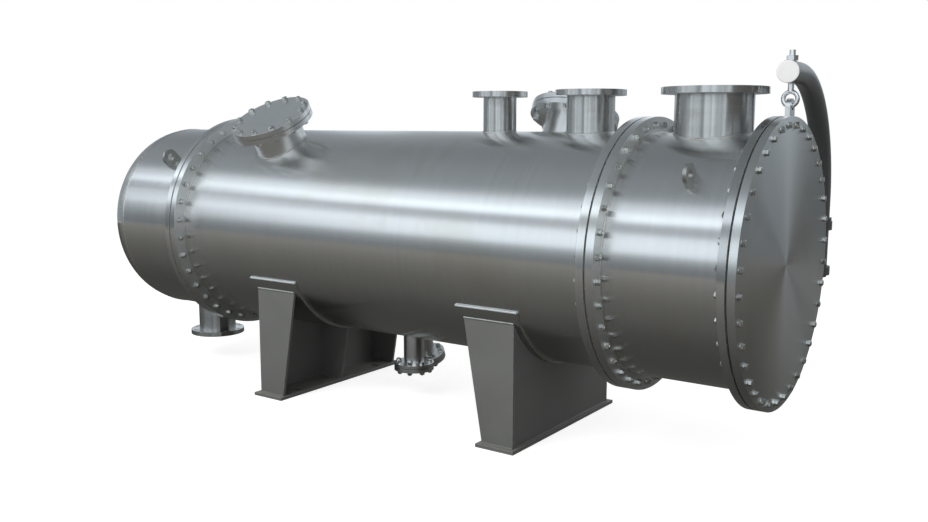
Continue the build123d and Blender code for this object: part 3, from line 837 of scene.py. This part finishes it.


# proud: how far tubes stand out of the tubesheets; the disc of painted shade sits on the floor of the recess
tubeSpec = {
    "pitch": 0.034, "outer": 0.0125, "wall": 0.002, "proud": 0.004, "recess": 0.0034, "bundle": 0.498,
    "rows": 35, "sides": 8, "discSink": 0.0001, "discRise": 0.0004, "discBite": 0.0002,
}


def tubeMesh(spec, length):
    # one tube with a rim and a shallow recess at each end
    outer, inner, recess = spec["outer"], spec["outer"] - spec["wall"], spec["recess"]
    rings = [
        (inner, recess), (inner, 0), (outer, 0), (outer, length), (inner, length), (inner, length - recess)
    ]
    return turnedMesh("tube", rings, spec["sides"])


def boreMesh(spec, length):
    # disc of painted shade on the floor of one tube's front recess
    floorZ = length - spec["recess"]
    radius = spec["outer"] - spec["wall"] + spec["discBite"]
    rings = [(radius, floorZ - spec["discSink"]), (radius, floorZ + spec["discRise"])]
    return turnedMesh("bore", rings, spec["sides"])


def bundleTree():
    # tubes on a triangular pitch inside a circle, standing along local Z
    tree, given, out = nodeTree("tubeBundle", [
        ("Tube", "NodeSocketObject", None), ("Pitch", "NodeSocketFloat", 0.034),
        ("Bundle", "NodeSocketFloat", 0.5), ("Rows", "NodeSocketInt", 35),
        ("Finish", "NodeSocketMaterial", None),
    ])
    value = given.outputs
    rowPitch = maths(tree, "MULTIPLY", value["Pitch"], math.sqrt(3) / 2)
    steps = maths(tree, "SUBTRACT", value["Rows"], 1.0)
    grid = put(tree, "GeometryNodeMeshGrid", {
        "Size X": maths(tree, "MULTIPLY", value["Pitch"], steps),
        "Size Y": maths(tree, "MULTIPLY", rowPitch, steps),
        "Vertices X": value["Rows"], "Vertices Y": value["Rows"],
    })
    place = put(tree, "GeometryNodeInputPosition")
    parts = put(tree, "ShaderNodeSeparateXYZ", {0: place.outputs[0]})
    row = maths(tree, "ROUND", maths(tree, "DIVIDE", parts.outputs["Y"], rowPitch))
    odd = maths(tree, "ABSOLUTE", maths(tree, "MODULO", row, 2.0))
    shift = put(
        tree, "ShaderNodeCombineXYZ",
        {"X": maths(tree, "MULTIPLY", maths(tree, "MULTIPLY", odd, value["Pitch"]), 0.5)},
    )
    staggered = put(
        tree, "GeometryNodeSetPosition", {"Geometry": grid.outputs["Mesh"], "Offset": shift.outputs[0]}
    )
    reach = put(tree, "ShaderNodeVectorMath", {0: place.outputs[0]}, operation="LENGTH")
    outside = put(
        tree, "FunctionNodeCompare", {0: reach.outputs["Value"], 1: value["Bundle"]},
        operation="GREATER_THAN",
    )
    kept = put(
        tree, "GeometryNodeDeleteGeometry",
        {"Geometry": staggered.outputs[0], "Selection": outside.outputs[0]}, domain="POINT",
    )
    tube = put(tree, "GeometryNodeObjectInfo", {"Object": value["Tube"]})
    spread = put(
        tree, "GeometryNodeInstanceOnPoints",
        {"Points": kept.outputs[0], "Instance": tube.outputs["Geometry"]},
    )
    real = put(tree, "GeometryNodeRealizeInstances", {0: spread.outputs[0]})
    done = put(tree, "GeometryNodeSetMaterial", {"Geometry": real.outputs[0], "Material": value["Finish"]})
    tree.links.new(done.outputs[0], out.inputs[0])
    return tree


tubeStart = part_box("rear_tubesheet")[0].x - tubeSpec["proud"]
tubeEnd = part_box("front_tubesheet")[1].x + tubeSpec["proud"]
tubeGrid = bundleTree()
gridValues = {
    "Pitch": tubeSpec["pitch"], "Bundle": tubeSpec["bundle"] - tubeSpec["outer"], "Rows": tubeSpec["rows"]
}


def onGrid(mesh, finish):
    # one copy of the mesh at each tube's place
    single = bpy.data.objects.new(mesh.name, mesh)
    whole = runTree(tubeGrid, bpy.data.meshes.new("start"), dict(gridValues, Tube=single, Finish=finish))
    whole.transform(facing((1, 0, 0), (tubeStart, 0, axisZ), (0, 0, 1)))
    bpy.data.objects.remove(single)
    return whole


bundleMesh = onGrid(tubeMesh(tubeSpec, tubeEnd - tubeStart), tubeSteel)
boreShadeDiscs = onGrid(boreMesh(tubeSpec, tubeEnd - tubeStart), boreShade)
addPiece("tube_bundle", bundleMesh, "vessel")
addPiece("tube_bores", boreShadeDiscs, "vessel")
print("tube bundle:", len(bundleMesh.polygons), "faces")


capSpec = {  # the dome's rings as shares of the radius and of the crown
    "radius": 0.0438, "proud": 0.004, "crown": 0.0022, "sides": 48, "touch": 0.0005,
    "domeShares": ((1.0, 1.0), (0.93, 0.4), (0.5, 0.1)),
}


def capMesh(spec):
    # low dome on a short rim
    rings = [(spec["radius"], 0.0)]
    rings += [
        (spec["radius"] * wide, spec["proud"] - spec["crown"] * drop) for wide, drop in spec["domeShares"]
    ]
    mesh = turnedMesh("davit_cap", rings, spec["sides"])
    mesh.materials.append(capPaint)
    return mesh


hingePlace = Vector(frame["joints"][0]["pos_m"])
eyePlace = middle("davit_eyebolt")
armWay = Vector((eyePlace.x - hingePlace.x, eyePlace.y - hingePlace.y, 0)).normalized()
armPoints = [vertex.co for vertex in nodes["davit_arm"].data.vertices]
armTip = max((p - hingePlace).dot(armWay) for p in armPoints)
tipZs = [p.z for p in armPoints if (p - hingePlace).dot(armWay) > armTip - capSpec["touch"]]
tipHeight = (min(tipZs) + max(tipZs)) / 2
tipCentre = Vector((hingePlace.x, hingePlace.y, tipHeight)) + armWay * armTip
cap = capMesh(capSpec)
cap.transform(facing(armWay, tipCentre, (0, 0, 1)))
addPiece("davit_end_cap", cap, "cover")
print("davit cap set")


stageSpec = {
    "floorSize": 40, "floorColour": 0.5, "floorGlow": 0.79, "worldDiffuse": 0.42,
    "tentRadius": 6.5, "tentLength": 22, "tentMiddle": -0.8, "tentSteps": 48, "tentStreaks": 0.5,
    "bayScale": 0.55, "bayFrom": 0.3, "bayTo": 0.7, "cardLift": 0.003, "endFade": 0.8,
    "riseStart": -5.5, "riseEnd": -10.0,  # the horizon rises between these places along the vessel
}


def seenWhite(tree):
    # one for rays that come from the camera, a reflection or a clear material
    path = put(tree, "ShaderNodeLightPath")
    first = maths(tree, "MAXIMUM", path.outputs["Is Camera Ray"], path.outputs["Is Glossy Ray"])
    return maths(tree, "MAXIMUM", first, path.outputs["Is Transmission Ray"])


world = bpy.data.worlds.new("studioWorld")
scene.world = world
world.use_nodes = True
background = world.node_tree.nodes["Background"]
background.inputs["Color"].default_value = (1, 1, 1, 1)
level = put(
    world.node_tree, "ShaderNodeMapRange",
    {"Value": seenWhite(world.node_tree), "To Min": stageSpec["worldDiffuse"], "To Max": 1.0},
)
world.node_tree.links.new(level.outputs[0], background.inputs["Strength"])

floorMaterial = bpy.data.materials.new("studioFloor")
floorMaterial.use_nodes = True
tree = floorMaterial.node_tree
tree.nodes.clear()
matt = put(tree, "ShaderNodeBsdfDiffuse", {"Color": (stageSpec["floorColour"],) * 3 + (1,)})
glow = maths(tree, "MULTIPLY", seenWhite(tree), stageSpec["floorGlow"])
glowing = put(tree, "ShaderNodeEmission", {"Strength": glow})
both = put(tree, "ShaderNodeAddShader", {0: matt.outputs[0], 1: glowing.outputs[0]})
put(tree, "ShaderNodeOutputMaterial", {"Surface": both.outputs[0]})
floorMesh = bpy.data.meshes.new("studioFloor")
half = stageSpec["floorSize"]
floorMesh.from_pydata(
    [(-half, -half, 0), (half, -half, 0), (half, half, 0), (-half, half, 0)], [], [(0, 1, 2, 3)]
)
floorMesh.materials.append(floorMaterial)
floor = bpy.data.objects.new("studioFloor", floorMesh)
scene.collection.objects.link(floor)


def glossyOnly(obj):
    obj.visible_camera = False
    obj.visible_diffuse = False
    obj.visible_transmission = False
    obj.visible_shadow = False
    obj.visible_volume_scatter = False


def rampMaterial(name, value, stops, tint, streaks=0.0):
    # emission whose strength follows stops of (position, strength)
    material = bpy.data.materials.new(name)
    material.use_nodes = True
    tree = material.node_tree
    tree.nodes.clear()
    amount = value(tree)
    curve = put(tree, "ShaderNodeFloatCurve", {"Value": amount})
    points = curve.mapping.curves[0].points
    top = max(strength for _, strength in stops)
    for i, (position, strength) in enumerate(stops):
        point = points[i] if i < 2 else points.new(position, strength / top)
        point.location = (position, strength / top)
    curve.mapping.update()
    where = put(tree, "ShaderNodeTexCoord")
    along = put(tree, "ShaderNodeSeparateXYZ", {0: where.outputs["Object"]})
    bays = put(
        tree, "ShaderNodeTexNoise",
        {"W": along.outputs["X"], "Scale": stageSpec["bayScale"], "Detail": 1.0},
        noise_dimensions="1D",
    )
    bay = put(
        tree, "ShaderNodeMapRange",
        {
            "Value": bays.outputs["Fac"], "From Min": stageSpec["bayFrom"], "From Max": stageSpec["bayTo"],
            "To Min": top * (1 - streaks), "To Max": top * (1 + streaks),
        },
    )
    scaled = maths(tree, "MULTIPLY", curve.outputs[0], bay.outputs[0])
    emission = put(tree, "ShaderNodeEmission", {"Color": (*tint, 1), "Strength": scaled})
    put(tree, "ShaderNodeOutputMaterial", {"Surface": emission.outputs[0]})
    return material


tentHorizon = math.radians(14)


def elevationShare(tree):
    # 0 below the near horizon, 1 at the far horizon; the horizon rises towards the bonnet's end
    where = put(tree, "ShaderNodeTexCoord")
    parts = put(tree, "ShaderNodeSeparateXYZ", {0: where.outputs["Object"]})
    nearer = maths(tree, "MULTIPLY", parts.outputs["Y"], -1.0)
    lifted = maths(tree, "SUBTRACT", parts.outputs["Z"], axisZ)
    angle = maths(tree, "ARCTAN2", lifted, nearer)
    rise = put(
        tree, "ShaderNodeMapRange",
        {
            "Value": parts.outputs["X"], "From Min": stageSpec["riseStart"],
            "From Max": stageSpec["riseEnd"], "To Min": tentHorizon, "To Max": 0.0,
        },
        interpolation_type="SMOOTHSTEP",
    )
    risen = maths(tree, "ADD", angle, rise.outputs[0])
    return maths(tree, "DIVIDE", risen, math.pi + tentHorizon, clamp=True)


def floorShare(tree):
    # 0 at the tent's near foot, 1 at its far foot
    where = put(tree, "ShaderNodeTexCoord")
    parts = put(tree, "ShaderNodeSeparateXYZ", {0: where.outputs["Object"]})
    radius = stageSpec["tentRadius"]
    share = put(
        tree, "ShaderNodeMapRange", {"Value": parts.outputs["Y"], "From Min": -radius, "From Max": radius}
    )
    return share.outputs[0]


tentTint = (0.89, 0.985, 1.06)  # cool light from above, warmer from below
cardTint = (1.0, 0.99, 0.93)
endTint = (1.0, 0.99, 0.96)
tentAngles = [  # both ends first, as the curve's own two points
    (-14, 0.28), (180, 0.3), (-5, 0.44), (0, 0.62), (6, 1.25), (13, 2.1), (21, 1.95), (27, 1.05), (30, 1.0),
    (34, 1.8), (38, 2.6), (43, 2.0), (49, 1.6), (54, 1.0), (58, 0.75), (63, 0.63), (75, 0.56), (90, 0.48),
    (108, 0.43), (121, 0.47), (137, 0.58), (155, 1.0), (163, 1.2), (170, 0.5),
]
tentStops = [
    ((math.radians(angle) + tentHorizon) / (math.pi + tentHorizon), strength)
    for angle, strength in tentAngles
]
cardStops = [
    (0.0, 0.5), (1.0, 0.3), (0.2, 0.43), (0.32, 0.33), (0.42, 0.2), (0.5, 0.1), (0.6, 0.14), (0.75, 0.24)
]
tent = bpy.data.objects.new("lightTent", bpy.data.meshes.new("lightTent"))
tentRadius = stageSpec["tentRadius"]
halfLength = stageSpec["tentLength"] / 2
turns = [math.pi * i / stageSpec["tentSteps"] for i in range(stageSpec["tentSteps"] + 1)]
tentArc = [(tentRadius * math.cos(t), axisZ + tentRadius * math.sin(t)) for t in turns]
tentArc = [(tentRadius, 0.0), *tentArc, (-tentRadius, 0.0)]  # down to the floor on both sides
tentPoints = []
for y, z in tentArc:
    tentPoints += [(stageSpec["tentMiddle"] + x, y, z) for x in (-halfLength, halfLength)]
tentFaces = [(2 * i, 2 * i + 1, 2 * i + 3, 2 * i + 2) for i in range(len(tentArc) - 1)]
tent.data.from_pydata(tentPoints, [], tentFaces)
tent.data.materials.append(
    rampMaterial("lightTent", elevationShare, tentStops, tentTint, stageSpec["tentStreaks"])
)
card = bpy.data.objects.new("floorCard", bpy.data.meshes.new("floorCard"))
cardZ = stageSpec["cardLift"]
cardPoints = [
    (-halfLength, -tentRadius, cardZ), (halfLength, -tentRadius, cardZ),
    (halfLength, tentRadius, cardZ), (-halfLength, tentRadius, cardZ),
]
card.data.from_pydata(cardPoints, [], [(0, 1, 2, 3)])
card.data.materials.append(rampMaterial("floorCard", floorShare, cardStops, cardTint))
stagePieces = [tent, card]
# place, strength and tint
endWalls = {"coverEnd": (9.4, 0.25, endTint), "bonnetEnd": (-11.7, 0.6, tentTint)}
for end, (x, strength, tint) in endWalls.items():
    wall = bpy.data.objects.new(end, bpy.data.meshes.new(end))
    tall = tentRadius + axisZ
    corners = [(x, -tentRadius, 0), (x, tentRadius, 0), (x, tentRadius, tall), (x, -tentRadius, tall)]
    wall.data.from_pydata(corners, [], [(0, 1, 2, 3)])
    wallStops = [(0.0, strength), (1.0, strength * stageSpec["endFade"])]
    wall.data.materials.append(rampMaterial(end, floorShare, wallStops, tint))
    stagePieces.append(wall)
for stagePiece in stagePieces:
    scene.collection.objects.link(stagePiece)
    glossyOnly(stagePiece)


lampSpecs = {
    "keyLamp": {"place": (-1.5, -5.5, 5.5), "target": (-0.8, 0, 0.7), "size": 4.5, "power": 330},
    "fillLamp": {"place": (3.5, 4.5, 5.0), "target": (-0.8, 0, 0.7), "size": 5.0, "power": 120},
}


def areaLamp(name, spec):
    data = bpy.data.lights.new(name, "AREA")
    data.shape = "DISK"
    data.size = spec["size"]
    data.energy = spec["power"]
    lamp = bpy.data.objects.new(name, data)
    way = Vector(spec["target"]) - Vector(spec["place"])
    turn = way.to_track_quat("-Z", "Y").to_matrix().to_4x4()
    lamp.matrix_world = Matrix.Translation(spec["place"]) @ turn
    lamp.visible_camera = False
    lamp.visible_glossy = False
    scene.collection.objects.link(lamp)


for name, spec in lampSpecs.items():
    areaLamp(name, spec)
print("stage and lamps set")
